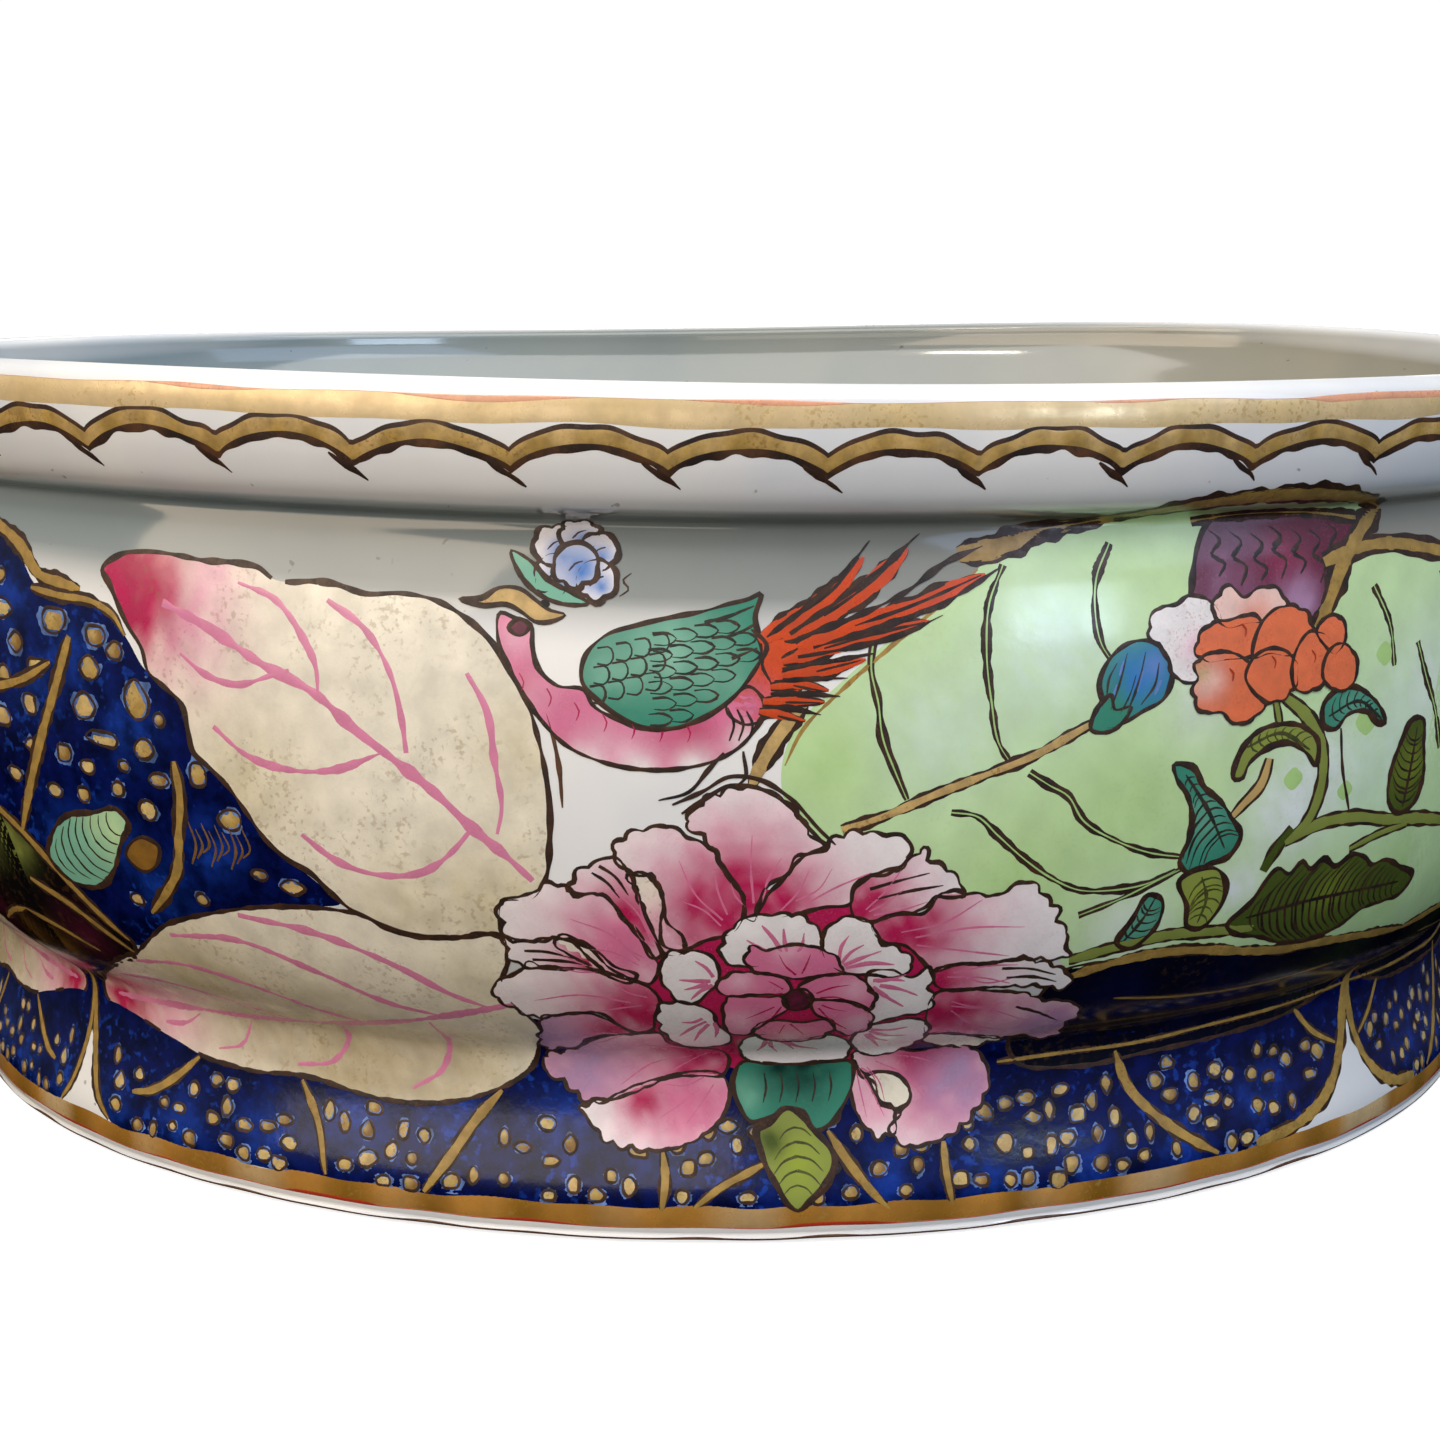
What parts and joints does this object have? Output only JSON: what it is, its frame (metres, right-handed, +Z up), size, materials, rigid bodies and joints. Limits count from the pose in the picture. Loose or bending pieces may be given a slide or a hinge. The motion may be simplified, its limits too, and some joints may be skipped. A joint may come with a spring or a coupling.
{
  "type": "footed serving bowl",
  "caption": "Oval footed porcelain serving bowl: bulging wall, upright collar lip over a groove, and a flared hollow foot skirt.",
  "frame": {"origin": "middle of the plane that the foot stands on", "axes": "+X along the bowl's length, +Y across its width towards the back, +Z up"},
  "size_m": [0.305, 0.221, 0.124],
  "materials": {
    "foot_porcelain": "clear glaze over white porcelain, cobalt enamel and a gold foot band",
    "wall_porcelain": "clear glaze over white porcelain, painted with raised overglaze enamels and gold outlines",
    "floor_porcelain": "clear glaze over white porcelain",
    "lip_porcelain": "clear glaze over white porcelain, gold band and a gold and brown swag border"
  },
  "bodies": {
    "root": {"foot_skirt": "foot_porcelain", "bowl_wall": "wall_porcelain", "bowl_floor": "floor_porcelain", "rim_lip": "lip_porcelain"}
  },
  "joints": []
}
